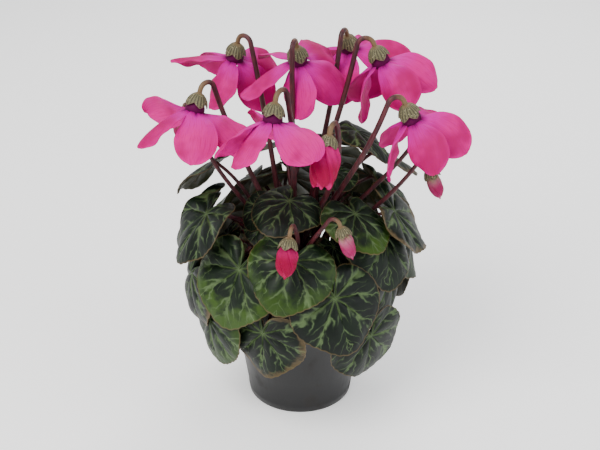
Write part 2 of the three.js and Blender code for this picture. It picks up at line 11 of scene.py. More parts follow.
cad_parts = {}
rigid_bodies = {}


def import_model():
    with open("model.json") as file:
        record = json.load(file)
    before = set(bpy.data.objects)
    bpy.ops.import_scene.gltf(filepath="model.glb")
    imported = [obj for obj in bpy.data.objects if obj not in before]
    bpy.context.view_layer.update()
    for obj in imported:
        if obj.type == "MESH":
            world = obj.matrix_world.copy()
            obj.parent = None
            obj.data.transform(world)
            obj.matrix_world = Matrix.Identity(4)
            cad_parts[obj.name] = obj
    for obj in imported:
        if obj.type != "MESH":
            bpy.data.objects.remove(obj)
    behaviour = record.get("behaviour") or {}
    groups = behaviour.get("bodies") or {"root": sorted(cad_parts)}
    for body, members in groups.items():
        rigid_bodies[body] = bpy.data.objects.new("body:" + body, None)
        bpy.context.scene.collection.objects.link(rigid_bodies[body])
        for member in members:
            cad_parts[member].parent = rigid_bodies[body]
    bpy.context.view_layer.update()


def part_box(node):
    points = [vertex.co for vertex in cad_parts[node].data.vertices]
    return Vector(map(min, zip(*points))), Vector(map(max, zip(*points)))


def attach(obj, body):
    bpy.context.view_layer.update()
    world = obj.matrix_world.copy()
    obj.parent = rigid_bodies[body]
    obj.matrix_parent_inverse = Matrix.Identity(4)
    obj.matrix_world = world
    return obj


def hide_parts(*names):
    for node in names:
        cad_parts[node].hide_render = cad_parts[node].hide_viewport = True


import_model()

# -------------------- Camera
# The photograph looks down on the plant from in front, about 27 degrees above the table and under a metre
# away. The camera stands there, with a lens long enough for the plant to fill the frame.
LOOK_DOWN = radians(27)
LOOK_FROM = 0.9
LOOK_AT = Vector((0, 0, 0.156))
LENS = 66


def placed(name, data):
    """A new object in the scene, made of that data."""
    made = bpy.data.objects.new(name, data)
    bpy.context.scene.collection.objects.link(made)
    return made


camera = placed("camera", bpy.data.cameras.new("camera"))
bpy.context.scene.camera = camera
camera.data.lens = LENS
camera.location = LOOK_AT + LOOK_FROM * Vector((0, -cos(LOOK_DOWN), sin(LOOK_DOWN)))
camera.rotation_euler = (pi / 2 - LOOK_DOWN, 0, 0)

# -------------------- Pot
# The grower's pot is one thin shell of dark plastic. A band under its rim stiffens it, and water drains
# through eight round holes in its floor.
POT_HEIGHT = 108
POT_TOP_RADIUS = 60
POT_BASE_RADIUS = 44
POT_WALL = 1
POT_FLOOR = 1.4
POT_BAND = 15
POT_SIDES = 144
POT_CREASE = 35
DRAIN_HOLES = 8
DRAIN_HOLE_RADIUS = 4
DRAIN_RING_RADIUS = 30
TAU = 2 * pi
UP = Vector((0, 0, 1))


def colour(red, green, blue):
    """A screen colour, each part from 0 to 255, as the shader's own linear colour."""
    parts = [part / 255 for part in (red, green, blue)]
    return tuple(p / 12.92 if p <= 0.04045 else ((p + 0.055) / 1.055) ** 2.4 for p in parts) + (1.0,)


class Shade:
    """A value on its way through a material's nodes. Arithmetic on it adds Math nodes."""

    def __init__(self, tree, link=None):
        self.tree = tree
        self.link = link

    def node(self, kind, settings, inputs, output=0):
        """Any node: its type, what is set on it, what its sockets take, and which output is wanted."""
        made = self.tree.nodes.new(kind)
        for name, value in settings.items():
            setattr(made, name, value)
        for name, value in inputs.items():
            if isinstance(value, Shade):
                self.tree.links.new(value.link, made.inputs[name])
            else:
                made.inputs[name].default_value = value
        return Shade(self.tree, made.outputs[output])

    def math(self, operation, *values):
        return self.node("ShaderNodeMath", {"operation": operation}, dict(enumerate(values)))

    def __add__(self, other):
        return self.math("ADD", self, other)

    def __sub__(self, other):
        return self.math("SUBTRACT", self, other)

    def __rsub__(self, other):
        return self.math("SUBTRACT", other, self)

    def __mul__(self, other):
        return self.math("MULTIPLY", self, other)

    def __truediv__(self, other):
        return self.math("DIVIDE", self, other)

    def __abs__(self):
        return self.math("ABSOLUTE", self)

    __radd__ = __add__
    __rmul__ = __mul__

    def fract(self):
        return self.math("FRACT", self)

    def smooth(self, low, high):
        """0 below low and 1 above high, or the other way round where low is the larger."""
        swap = low > high
        ends = {1: high, 2: low, 3: 1.0, 4: 0.0} if swap else {1: low, 2: high, 3: 0.0, 4: 1.0}
        return self.node("ShaderNodeMapRange", {"interpolation_type": "SMOOTHSTEP"}, {0: self, **ends})

    def value(self, name):
        """What the mesh carries under that name."""
        return self.node("ShaderNodeAttribute", {"attribute_name": name}, {}, 2)

    def place(self, stretch=(1, 1, 1)):
        """The point on the piece, in metres, stretched along the three axes."""
        spot = self.node("ShaderNodeTexCoord", {}, {}, 3)
        return self.node("ShaderNodeVectorMath", {"operation": "MULTIPLY"}, {0: spot, 1: stretch})

    def together(self, x, y, z):
        return self.node("ShaderNodeCombineXYZ", {}, {0: x, 1: y, 2: z})

    def cloud(self, scale, detail=2.0, where=None):
        """Soft noise from 0 to 1, over the piece itself if not told where."""
        sockets = {"Vector": where or self.place(), "Scale": scale, "Detail": detail}
        return self.node("ShaderNodeTexNoise", {}, sockets)

    def cells(self, scale, feature, where=None):
        """How far it is to the edge of an irregular cell, or with F1 to its middle."""
        sockets = {"Vector": where or self.place(), "Scale": scale}
        return self.node("ShaderNodeTexVoronoi", {"feature": feature}, sockets)

    def tint(self, share, *two):
        """The first colour turning into the second as the share goes from 0 to 1."""
        first, second = [colour(*one) if isinstance(one, tuple) else one for one in two]
        return self.node("ShaderNodeMix", {"data_type": "RGBA"}, {0: share, 6: first, 7: second}, 2)

    def bump(self, height, depth, strength=1.0):
        """The normal of a surface whose height, from 0 to 1, stands for that many millimetres."""
        sockets = {"Strength": strength, "Distance": depth / 1000, "Height": height}
        return self.node("ShaderNodeBump", {}, sockets)


def surface(name, **fixed):
    """A new material with what is the same all over set on its shader, and a start for its shade."""
    made = bpy.data.materials.new(name)
    made.use_nodes = True
    shader = made.node_tree.nodes["Principled BSDF"]
    for key, value in fixed.items():
        shader.inputs[key.replace("_", " ")].default_value = value
    return made, Shade(made.node_tree)


def feed(material, **varied):
    """Joins what changes over the surface to the shader."""
    shader = material.node_tree.nodes["Principled BSDF"]
    for key, shade in varied.items():
        material.node_tree.links.new(shade.link, shader.inputs[key.replace("_", " ")])


class Body:
    """A piece while it is put together: its points, its faces, and what each point carries."""

    def __init__(self):
        self.points = []
        self.faces = []
        self.kinds = []
        self.values = {}

    def add(self, points, faces, kind=0, **values):
        """Adds a part. Its kind is its material's place in the list, one number or one for each face."""
        start = len(self.points)
        for name, given in values.items():
            held = self.values.setdefault(name, [])
            held.extend([0.0] * (start - len(held)))
            held.extend(given if isinstance(given, list) else [given] * len(points))
        self.points.extend(points)
        self.faces.extend([start + n for n in face] for face in faces)
        self.kinds.extend(kind if isinstance(kind, list) else [kind] * len(faces))

    def mesh(self, name):
        """Its bare mesh, in metres."""
        made = bpy.data.meshes.new(name)
        made.from_pydata([0.001 * p for p in self.points], [], self.faces)
        return made

    def make(self, name, materials, slot, *nodes, crease=60):
        """Its finished piece, on the plant's one body, in place of those nodes."""
        mesh = self.mesh(name)
        for material in materials:
            mesh.materials.append(material)
        mesh.polygons.foreach_set("material_index", self.kinds)
        for key, held in self.values.items():
            held.extend([0.0] * (len(self.points) - len(held)))
            mesh.attributes.new(key, "FLOAT", "POINT").data.foreach_set("value", held)
        mesh.shade_smooth()
        mesh.set_sharp_from_angle(angle=radians(crease))
        mesh.validate()
        thing = placed(name, mesh)
        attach(thing, "root")
        if nodes:
            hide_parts(*nodes)
        return thing


def stacked(rings, first_pole, last_pole):
    """Points and faces of rings of corners, one after the other, closed at each end by a point."""
    count = len(rings[0])
    points = [p for ring in rings for p in ring]
    faces = []
    for n in range(len(rings) - 1):
        for s in range(count):
            a = n * count + s
            b = n * count + (s + 1) % count
            faces.append((a, b, b + count, a + count))
    last, pole = len(points) - count, len(points)
    faces.extend((pole, (s + 1) % count, s) for s in range(count))
    faces.extend((pole + 1, last + s, last + (s + 1) % count) for s in range(count))
    return points + [first_pole, last_pole], faces


def spoke(turn, radius=1, height=0):
    """The point that far from the z axis in that direction."""
    return Vector((radius * cos(turn), radius * sin(turn), height))


def ring_at(radius, height, sides):
    return [spoke(TAU * s / sides, radius, height) for s in range(sides)]


def turned(profile, sides):
    """A profile of [radius, height] points, from its foot up the outside, turned about the z axis."""
    rings = [ring_at(r, z, sides) for r, z in profile[1:-1]]
    return stacked(rings, profile[0][1] * UP, profile[-1][1] * UP)


band_foot = POT_HEIGHT - POT_BAND
band_inside = POT_TOP_RADIUS - 2.1
wall_top = POT_TOP_RADIUS - 2.6
wall_lean = (wall_top - POT_BASE_RADIUS) / (band_foot - 2.5)


def pot_wall(height, depth=0):
    """A point on the wall below the band, at that height and that far in."""
    return [POT_BASE_RADIUS + wall_lean * (height - 1) - depth, height]


pot_profile = [
    [0, 0],
    [POT_BASE_RADIUS - 4, 0],
    [POT_BASE_RADIUS - 1.6, 0],
    [POT_BASE_RADIUS - 0.5, 0.3],
    [POT_BASE_RADIUS, 1],
    pot_wall(5),
    pot_wall(7),
    *[pot_wall(height, 0.35) for height in (7.6, 30, 60, 84)],
    pot_wall(84.6),
    [wall_top, band_foot - 1.5],
    [wall_top + 0.5, band_foot - 1.2],
    [POT_TOP_RADIUS - 1.4, band_foot - 0.4],
    [POT_TOP_RADIUS - 0.9, band_foot],
    [POT_TOP_RADIUS - 0.8, band_foot + 0.8],
    [POT_TOP_RADIUS - 0.1, POT_HEIGHT - 2.2],
    [POT_TOP_RADIUS, POT_HEIGHT - 1.2],
    [POT_TOP_RADIUS - 0.15, POT_HEIGHT - 0.4],
    [POT_TOP_RADIUS - 0.5, POT_HEIGHT],
    [POT_TOP_RADIUS - 1.0, POT_HEIGHT],
    [POT_TOP_RADIUS - 1.3, POT_HEIGHT - 0.3],
    [band_inside, band_foot + 1],
    [wall_top - POT_WALL, band_foot - 1],
    [POT_BASE_RADIUS - POT_WALL, POT_FLOOR],
    [0, POT_FLOOR],
]
plastic, shade = surface("pot plastic", Specular_IOR_Level=0.4)
dust = shade.cloud(60.0, 4.0)
scuff = shade.cloud(420.0, where=shade.place((1, 1, 0.12)))
film = dust.smooth(0.48, 0.78)
feed(
    plastic,
    Base_Color=shade.tint(film * 0.5, (10, 10, 12), (40, 36, 32)),
    Roughness=0.34 + 0.3 * film + 0.12 * scuff,
    Normal=shade.bump(0.7 * scuff + 0.3 * dust, 0.06),
)
pot = Body()
pot.add(*turned(pot_profile, POT_SIDES))
pot_piece = pot.make("pot_shell", [plastic], "pot_plastic", "pot", crease=POT_CREASE)

drill = Body()
points, faces = turned([[0, -2], [DRAIN_HOLE_RADIUS, -2], [DRAIN_HOLE_RADIUS, 4], [0, 4]], 32)
for n in range(DRAIN_HOLES):
    middle = spoke(TAU * (n + 0.5) / DRAIN_HOLES, DRAIN_RING_RADIUS)
    drill.add([middle + p for p in points], faces)
drill_thing = placed("drill", drill.mesh("drill"))
cut = pot_piece.modifiers.new("drain holes", "BOOLEAN")
cut.object = drill_thing
cut.operation = "DIFFERENCE"
cut.solver = "EXACT"
bored = bpy.data.meshes.new_from_object(pot_piece.evaluated_get(bpy.context.evaluated_depsgraph_get()))
pot_piece.modifiers.clear()
pot_piece.data = bored
bored.shade_smooth()
bored.set_sharp_from_angle(angle=radians(POT_CREASE))
bpy.data.objects.remove(drill_thing)

# -------------------- Soil
# Dark peat fills the pot to a finger's width below its rim. Its surface is crumbly, with a few pale
# grains of grit in it.
SOIL_LEVEL = 96
SOIL_RADIUS = 57
SOIL_SWELL = 0.9
SOIL_SIDES = 120
SOIL_RINGS = 40
CRUMB_COUNT = 420
FIT_GAP = 0.35


def draw(i, k):
    """A repeatable draw from 0 to 1 for property k of item i."""
    return sin(i * 127.1 + k * 311.7) * 43758.5453 % 1


def swing(i, k):
    """The same from -1 to 1."""
    return 2 * draw(i, k) - 1


peat, shade = surface("peat", Specular_IOR_Level=0.25)
clods = shade.cloud(240.0, 6.0)
grit = shade.cells(420.0, "F1")
feed(
    peat,
    Base_Color=shade.tint(clods.smooth(0.3, 0.72), (26, 19, 14), (74, 56, 41)),
    Roughness=0.84 + 0.14 * clods,
    Normal=shade.bump(clods + 0.4 * grit, 1.2),
)


def soil_height(x, y):
    swell = SOIL_SWELL * sin(0.21 * x + 1) + SOIL_SWELL * cos(0.17 * y + 0.09 * x)
    rough = noise.fractal(Vector((0.11 * x, 0.11 * y, 3.0)), 0.7, 2.1, 5)
    return SOIL_LEVEL + swell + 1.1 * rough


soil_side = [
    [POT_BASE_RADIUS - POT_WALL - FIT_GAP - 0.4, POT_FLOOR + FIT_GAP],
    [wall_top - POT_WALL - FIT_GAP - 0.3, band_foot - 1],
    [band_inside - FIT_GAP - 0.4, band_foot + 1],
]
rings = [ring_at(r, z, SOIL_SIDES) for r, z in soil_side]
for n in range(SOIL_RINGS):
    ring = ring_at(SOIL_RADIUS - (SOIL_RADIUS - 0.8) * n / (SOIL_RINGS - 1), 0, SOIL_SIDES)
    for point in ring:
        point.z = soil_height(point.x, point.y) - (0.8 if n == 0 else 0)
    rings.append(ring)
soil = Body()
soil.add(*stacked(rings, (POT_FLOOR + FIT_GAP) * UP, soil_height(0, 0) * UP))
soil.make("soil_bed", [peat], "peat", "soil", crease=80)

pale_grit, shade = surface("pale grit", Roughness=0.8)
dusty = shade.cloud(300.0)
feed(pale_grit, Base_Color=shade.tint(dusty, (150, 142, 126), (196, 190, 176)))

crumbs = Body()
for i in range(CRUMB_COUNT):
    r = (SOIL_RADIUS - 1) * sqrt(draw(i, 1))
    turn = TAU * draw(i, 2)
    x, y = r * cos(turn), r * sin(turn)
    pale = draw(i, 3) > 0.94
    size = 0.5 + 1.3 * draw(i, 4) ** 3
    middle = Vector((x, y, soil_height(x, y) + 0.25 * size))
    lump = []
    for level in (-0.7, 0.1, 0.75):
        belt = sqrt(1 - level * level)
        ring = []
        for s in range(6):
            out = spoke(TAU * s / 6 + level, belt, 0.8 * level)
            ring.append(middle + size * (1 + 0.25 * swing(9 * i + s, 5 + level)) * out)
        lump.append(ring)
    crumbs.add(*stacked(lump, middle - 0.7 * size * UP, middle + 0.8 * size * UP), kind=int(pale))
crumbs.make("soil_crumbs", [peat, pale_grit], "peat", crease=30)

# -------------------- Tuber
# The plant's flattened corky ball sits half in the soil. Every stalk springs from the top of it.
TUBER_RADIUS = 24
TUBER_HALF_HEIGHT = 14
TUBER_LEVEL = 97
TUBER_STEPS = 32

cork, shade = surface("tuber skin", Specular_IOR_Level=0.3)
bark = shade.cloud(120.0, 6.0)
cracks = shade.cells(260.0, "DISTANCE_TO_EDGE", shade.place((1, 1, 1.6)))
feed(
    cork,
    Base_Color=shade.tint(bark.smooth(0.3, 0.7), (58, 40, 30), (118, 86, 60)),
    Roughness=0.75 + 0.2 * bark,
    Normal=shade.bump(bark + cracks.smooth(0.0, 0.12), 0.7),
)
rings = []
for n in range(1, TUBER_STEPS):
    polar = pi * n / TUBER_STEPS
    ring = []
    for out in ring_at(sin(polar), -cos(polar), 72):
        x, y, z = (1 + 0.02 * noise.fractal(3.1 * out, 0.8, 2.0, 4)) * out
        ring.append(Vector((TUBER_RADIUS * x, TUBER_RADIUS * y, TUBER_LEVEL + TUBER_HALF_HEIGHT * z)))
    rings.append(ring)
tuber = Body()
poles = [(TUBER_LEVEL - TUBER_HALF_HEIGHT) * UP, (TUBER_LEVEL + TUBER_HALF_HEIGHT) * UP]
tuber.add(*stacked(rings, *poles))
tuber.make("tuber_body", [cork], "tuber_skin", "tuber", crease=80)

# -------------------- Flower stalks
# Each flower hangs from a round fleshy stalk that turns over in a crook at its top. The stalk is maroon
# and goes a lighter olive in the crook, partly its own colour and partly a painted highlight where light
# falls on the crook. It ends in a ribbed grey-green calyx of five pointed sepals.
GOLDEN_ANGLE = radians(137.508)
CROWN_PITCH = 2.75
CALYX_HEIGHT = 9
CALYX_EDGE = -2.2
CALYX_RADIUS = 8.5
STALK_RADIUS = 2.2
BUD_STALK_RADIUS = 0.8 * STALK_RADIUS
CROOK_RADIUS = 6.5


def crown_slot(n):
    """The foot of stalk number n of the spiral on the tuber, and the way it points there."""
    radius = CROWN_PITCH * sqrt(n + 0.5)
    share = radius / TUBER_RADIUS
    rest = sqrt(1 - share * share)
    outward = spoke(n * GOLDEN_ANGLE)
    foot = radius * outward + (TUBER_LEVEL + TUBER_HALF_HEIGHT * rest) * UP
    way = (share / TUBER_RADIUS * outward + rest / TUBER_HALF_HEIGHT * UP).normalized()
    return foot, way


def bezier(a, b, c, d, t):
    u = 1 - t
    return u**3 * a + 3 * u * u * t * b + 3 * u * t * t * c + t**3 * d


def bar(path, radius_at, sides):
    """A round bar along a path, and the share of the way along it at each point."""
    across = None
    rings, shares = [], []
    for n, p in enumerate(path):
        along = (path[min(n + 1, len(path) - 1)] - path[max(n - 1, 0)]).normalized()
        if across is None:
            across = Vector((1, 0, 0)) if abs(along.z) > 0.9 else UP
        across = (across - across.dot(along) * along).normalized()
        over = along.cross(across)
        share = n / (len(path) - 1)
        radius = radius_at(share)
        turns = [TAU * s / sides for s in range(sides)]
        rings.append([p + radius * (cos(t) * across + sin(t) * over) for t in turns])
        shares.extend([share] * sides)
    points, faces = stacked(rings, path[0], path[-1])
    return points, faces, shares + [0.0, 1.0]


class Flower:
    """Where a flower hangs: up runs from its petals to its calyx, fore and side lie across it."""

    def __init__(self, azimuth, reach, height, hand_turn, tilt, scale):
        outward = spoke(azimuth)
        self.hand = spoke(azimuth + hand_turn)
        self.up = cos(tilt) * UP - sin(tilt) * self.hand
        self.side = UP.cross(self.hand).normalized()
        self.fore = self.side.cross(self.up)
        self.base = reach * outward + (height - (CALYX_HEIGHT + 2 + CROOK_RADIUS) * scale) * UP
        self.tilt = tilt
        self.scale = scale

    def at(self, fore, side, up):
        return self.base + fore * self.fore + side * self.side + up * self.up

    def round(self, radius, turn, up):
        return self.at(radius * cos(turn), radius * sin(turn), up)


def stalk_path(flower, slot, lean, rise_steps, crook_steps):
    """The stalk's middle line, from its slot up to the crook and over it into the calyx."""
    scale, tilt, up = flower.scale, flower.tilt, flower.up
    radius = CROOK_RADIUS * scale
    back = -cos(tilt) * flower.hand - sin(tilt) * UP
    centre = flower.at(0, 0, CALYX_HEIGHT * scale) + 2 * scale * up + radius * back
    end = pi - tilt - lean
    crook = [flower.at(0, 0, (CALYX_HEIGHT - 3) * scale)]
    for n in range(crook_steps + 1):
        turn = end * n / crook_steps
        crook.append(centre - radius * cos(turn) * back + radius * sin(turn) * up)
    down = sin(end) * back + cos(end) * up
    elbow = crook[-1]
    foot, way = slot
    start = foot + 2 * way
    far = (elbow - start).length
    one, two = start + 0.3 * far * way + 0.1 * far * UP, elbow + 0.4 * far * down
    shaft = [bezier(start, one, two, elbow, n / rise_steps) for n in range(rise_steps)]
    return [foot + FIT_GAP * way, *shaft, *reversed(crook)]


def rough_calyx(flower):
    """The corners of the solid's own calyx."""
    points = []
    for n, (height, radius) in enumerate([(CALYX_EDGE, CALYX_RADIUS), (3, 7.9), (7.2, 4.6)]):
        for s in range(10):
            notch = 1 if n == 0 and s % 2 else 0
            r = (radius - 0.5 * notch) * (0.93 if n > 0 and s % 2 else 1) * flower.scale
            points.append(flower.round(r, TAU * s / 10, (height + 3.2 * notch) * flower.scale))
    return points + [flower.at(0, 0, CALYX_HEIGHT * flower.scale)]


def calyx(body, flower, kind):
    """Five sepals side by side: a dome on the outside, hollow below, its edge in five points."""
    sides, steps = 80, 14
    inside = [(3.2, 1.6), (2.0, 1.1), (0.8, 0.8), (0.15, 0.55)]
    scale = flower.scale
    rings, rib, climb = [], [], []

    def dome(height):
        share = min(1.0, (height - CALYX_EDGE) / (CALYX_HEIGHT - CALYX_EDGE))
        return CALYX_RADIUS * (1 - max(share, 0) ** 2.2) ** 0.62

    for n in range(-len(inside), steps + 1):
        share = max(0.0, n / steps)
        ring = []
        for s in range(sides):
            turn = TAU * s / sides
            gap = abs((5 * turn / TAU) % 1 - 0.5) * 2
            notch = (1 - gap) ** 1.2
            edge = CALYX_EDGE + 3.4 * notch
            groove = 1 - 0.075 * notch**2
            ridge = 1 + 0.022 * cos(20 * turn) * min(1, (n + len(inside)) / 6)
            if n < 0:
                height = edge + inside[n][0]
                r = dome(height) - inside[n][1]
            else:
                height = edge + (CALYX_HEIGHT - 0.5 - edge) * share
                r = dome(height) * (1 + 0.03 * (1 - share) ** 6)
            ring.append(flower.round(r * groove * ridge * scale, turn, height * scale))
            rib.append(0.5 + 0.5 * cos(20 * turn))
            climb.append(share)
        rings.append(ring)
    points, faces = stacked(rings, flower.at(0, 0, 0.8 * scale), flower.at(0, 0, CALYX_HEIGHT * scale))
    body.add(points, faces, kind, along=1.0, rib=rib + [0.0, 0.5], climb=climb + [0.0, 1.0])


stem, shade = surface("stalk skin", Specular_IOR_Level=0.4)
along = shade.value("along")
blotch = shade.cloud(380.0, 4.0, shade.place((1, 1, 0.3)))
mottle = shade.cloud(1100.0)
maroon = shade.tint(blotch.smooth(0.3, 0.75), (46, 8, 18), (84, 24, 32))
# The crook's lighter olive is partly the stalk's own colour and partly a painted highlight where light falls
# on the top of the crook.
olive_and_painted_highlight = shade.tint(mottle, (88, 64, 40), (116, 94, 60))
feed(
    stem,
    Base_Color=shade.tint((along + 0.12 * (blotch - 0.5)).smooth(0.74, 0.97), maroon, olive_and_painted_highlight),
    Roughness=0.42 + 0.2 * mottle,
    Normal=shade.bump(mottle, 0.12),
)

sepal, shade = surface("calyx skin", Specular_IOR_Level=0.35)
rib = shade.value("rib")
climb = shade.value("climb")
bumps_and_glint_spots = shade.cells(620.0, "F1")
mist = shade.cloud(420.0, 4.0)
ground = shade.tint(rib.smooth(0.35, 0.95), (94, 90, 62), (46, 40, 29))
# The cream flecks are painted glints: highlights on the calyx put into its colour. The same spots also give
# the calyx its small bumps.
ground_with_painted_glints = shade.tint(bumps_and_glint_spots.smooth(0.42, 0.16) * mist.smooth(0.35, 0.6), ground, (136, 128, 98))
rimmed = shade.tint(climb.smooth(0.09, 0.0), ground_with_painted_glints, (104, 78, 66))
feed(
    sepal,
    Base_Color=shade.tint(climb.smooth(0.78, 1.0) * 0.7, rimmed, (116, 92, 62)),
    Roughness=0.55 + 0.2 * mist,
    Normal=shade.bump(0.6 * rib + 0.4 * bumps_and_glint_spots, 0.25),
)

# -------------------- Petals
# Five broad petals spring from a short cup, arch over and hang like a skirt. They are thin and soft, hot
# pink with a purple root and a paler waved edge.
PETAL_LENGTH = 46
PETAL_HALF_WIDTH = 16
PETAL_ROOT_HALF_WIDTH = 3.2
PETAL_ROOT_RADIUS = 5.2
PETAL_ROOT_DEPTH = 5
PETAL_THICKNESS = 0.5
HALF_OPEN_LENGTH = 31
HALF_OPEN_RADIUS = 10.5
HALF_OPEN_MOUTH = 0.55
HALF_OPEN_SCALE = 0.9
BUD_LENGTH = 26
BUD_RADIUS = 7.4
BUD_MOUTH = 0.22
ROUGH_ROWS = [0, 0.3, 0.6, 0.86, 1]
FINE_ROWS = [0, 0.03, 0.07, 0.11, 0.15, *[n / 20 for n in range(4, 17)], 0.84, 0.88, 0.91, 0.94, 0.96, 0.975,
             0.99, 1]
FINE_COLUMNS = 19
SOLID_THICKNESS = 0.8
BLOOM_TRIES = 240
FLOWER_SEED = 40
PETAL_SEED = 50


def thickened(points, faces, border, thickness_at):
    """A thin sheet given thickness to both sides of its points."""
    normals = [Vector((0, 0, 0)) for p in points]
    for face in faces:
        for n in range(1, len(face) - 1):
            a, b, c = face[0], face[n], face[n + 1]
            normal = (points[b] - points[a]).cross(points[c] - points[a])
            for corner in (a, b, c):
                normals[corner] += normal
    for normal in normals:
        normal.normalize()
    count = len(points)
    upper = [p + 0.5 * thickness_at(n) * normals[n] for n, p in enumerate(points)]
    lower = [p - 0.5 * thickness_at(n) * normals[n] for n, p in enumerate(points)]
    back = [[n + count for n in reversed(face)] for face in faces]
    rim = []
    for n, a in enumerate(border):
        b = border[(n + 1) % len(border)]
        rim.append((a + count, b + count, b, a))
    return upper + lower, faces, back, rim


def petal(flower, number, j, twirl, shares, columns, fine):
    """The middle sheet of petal j: points, faces, border, and each point's share along and across."""
    item = 10 * (PETAL_SEED + number) + j
    turn = TAU * j / 5 + twirl + 0.16 * swing(item, 1)
    lifted = 1 if draw(item, 2) > 0.66 else 0
    rise = radians(20 - 12 * lifted + 6 * swing(item, 3))
    fall = radians(68 - 34 * lifted + 10 * swing(item, 4))
    length = PETAL_LENGTH * (1 + 0.07 * swing(item, 5))
    fold = 0.3 + 0.16 * swing(item, 6)
    lean = radians(26 + 8 * swing(item, 7))
    twist = radians(8 + 16 * swing(item, 8))
    phase = TAU * draw(item, 9)
    outward = cos(turn) * flower.fore + sin(turn) * flower.side
    around = -sin(turn) * flower.fore + cos(turn) * flower.side
    start = flower.at(0, 0, -PETAL_ROOT_DEPTH) + PETAL_ROOT_RADIUS * outward
    bend = start + 0.42 * length * (cos(rise) * outward - sin(rise) * flower.up)
    tip = bend + 0.64 * length * (cos(fall) * outward - sin(fall) * flower.up)
    points, lengthwise, crosswise = [], [], []
    for s in shares:
        middle = (1 - s) ** 2 * start + 2 * s * (1 - s) * bend + s * s * tip
        along = ((s - 1) * start + (1 - 2 * s) * bend + s * tip).normalized()
        normal = along.cross(around)
        roll = lean * min(1, 3 * s) + twist * s
        broad = cos(roll) * around + sin(roll) * normal
        out = cos(roll) * normal - sin(roll) * around
        swell = sin(pi * s**1.55) ** (0.56 if fine else 0.65) if s < 1 else 0
        half = PETAL_ROOT_HALF_WIDTH + (PETAL_HALF_WIDTH - PETAL_ROOT_HALF_WIDTH) * swell
        for column in range(columns):
            v = 2 * column / (columns - 1) - 1
            lift = -fold * half * abs(v) ** 1.6 + 1.3 * abs(v) * s * sin(9 * s + 2 * v + phase)
            point = middle + v * half * broad + lift * out
            if fine:
                broadness = half / PETAL_HALF_WIDTH
                ruffle = 1.3 * abs(v) ** 2.5 * s * sin(19 * s + 4 * v + 3 * phase)
                flounce = 2.4 * s**5 * sin(4.5 * v + 2 * phase)
                crease = 1.1 * s * (1 - s) * cos(6 * v + phase)
                dimple = 0.9 * exp(-((v / 0.2) ** 2)) * (1 - s) ** 2
                point += ((ruffle + flounce) * broadness**1.5 + crease - dimple) * out
                rounding = 1.6 * (1 - sqrt(max(0, 1 - v * v))) + 0.3 * cos(5 * v + phase)
                point -= rounding * s**9 * along
            points.append(point)
            lengthwise.append(s)
            crosswise.append(v)
    faces = []
    rows = len(shares)
    for row in range(rows - 1):
        for column in range(columns - 1):
            a = row * columns + column
            faces.append((a, a + columns, a + columns + 1, a + 1))
    border = [row * columns for row in range(rows)]
    border += [(rows - 1) * columns + column for column in range(1, columns)]
    border += [row * columns + columns - 1 for row in range(rows - 2, -1, -1)]
    border += list(range(columns - 2, 0, -1))
    return points, faces, border, lengthwise, crosswise


def rough_cup(flower):
    """The corners of the solid's own cup."""
    scale = flower.scale
    points = [flower.at(0, 0, -10 * scale), flower.at(0, 0, 2.2 * scale)]
    for height, radius in [(-8.5, 5.2), (-4, 7.4), (0.6, 5.6)]:
        points += [flower.round(radius * scale, TAU * s / 10, height * scale) for s in range(10)]
    return points


def rough_furled(flower, length, width, mouth):
    """The corners of the solid's own furled petals. The mouth is a share of their widest radius."""
    points = []
    for share, radius in zip([1, 0.7, 0.35, 0.1], [mouth, 0.86, 1, 0.7]):
        for s in range(10):
            r = width * radius * (0.78 if s % 2 else 1)
            points.append(flower.round(r, TAU * s / 10 + 1.5 * share, 1 - length * share))
    return points + [flower.at(0, 0, -1.06 * length), flower.at(0, 0, 1.5)]


# Each flower's slot on the tuber, which way and how far out it hangs, and the height of its crook. Late ones
# had to be bent clear of the leaves too.
FLOWERS = [
    dict(name="bloom_01", slot=12, azimuth=-156, reach=84, height=292),
    dict(name="bloom_02", slot=7, azimuth=-110, reach=64, height=294),
    dict(name="bloom_03", slot=0, azimuth=4, reach=60, height=316),
    dict(name="bloom_04", slot=5, azimuth=-32, reach=94, height=290),
    dict(name="bloom_05", slot=1, azimuth=100, reach=12, height=314),
    dict(name="bloom_06", slot=11, azimuth=62, reach=72, height=304),
    dict(name="bloom_07", slot=9, azimuth=136, reach=72, height=304),
    dict(name="bloom_08", slot=15, azimuth=-76, reach=82, height=276, furled=True),
    dict(name="bud_01", slot=13, azimuth=-8, reach=108, height=252, bud=0.8, plump=1),
    dict(name="bud_02", slot=26, azimuth=-17, reach=106, height=228, bud=0.78, plump=1, late=True),
    dict(name="bud_03", slot=17, azimuth=178, reach=92, height=264, bud=0.82, plump=1),
    dict(name="bud_04", slot=28, azimuth=-95, reach=98, height=203, bud=0.88, plump=1.25, late=True),
    dict(name="bud_05", slot=23, azimuth=-70, reach=93, height=206, bud=0.76, plump=1, late=True),
]


def flower_plan(flower, number, k):
    """How flower number hangs at the k-th try to bend it clear of the others."""
    bend = (3 if "late" in flower else 1) * (k / BLOOM_TRIES)
    item = FLOWER_SEED + number
    scale = flower.get("bud") or (HALF_OPEN_SCALE if "furled" in flower else 1)
    azimuth = radians(flower["azimuth"] + 16 * bend * swing(item, 100 + k))
    reach = flower["reach"] + 16 * bend * swing(item, 200 + k)
    height = flower["height"] + 12 * bend * swing(item, 300 + k)
    hand_turn = radians(50 * swing(item, 10))
    tilt = radians(14 + 10 * draw(item, 11))
    lean = 0.8 * atan2(reach - 14, height - 120)
    twirl = TAU * draw(item, 12) + 1.2 * bend * swing(item, 400 + k)
    return Flower(azimuth, reach, height, hand_turn, tilt, scale), lean, twirl


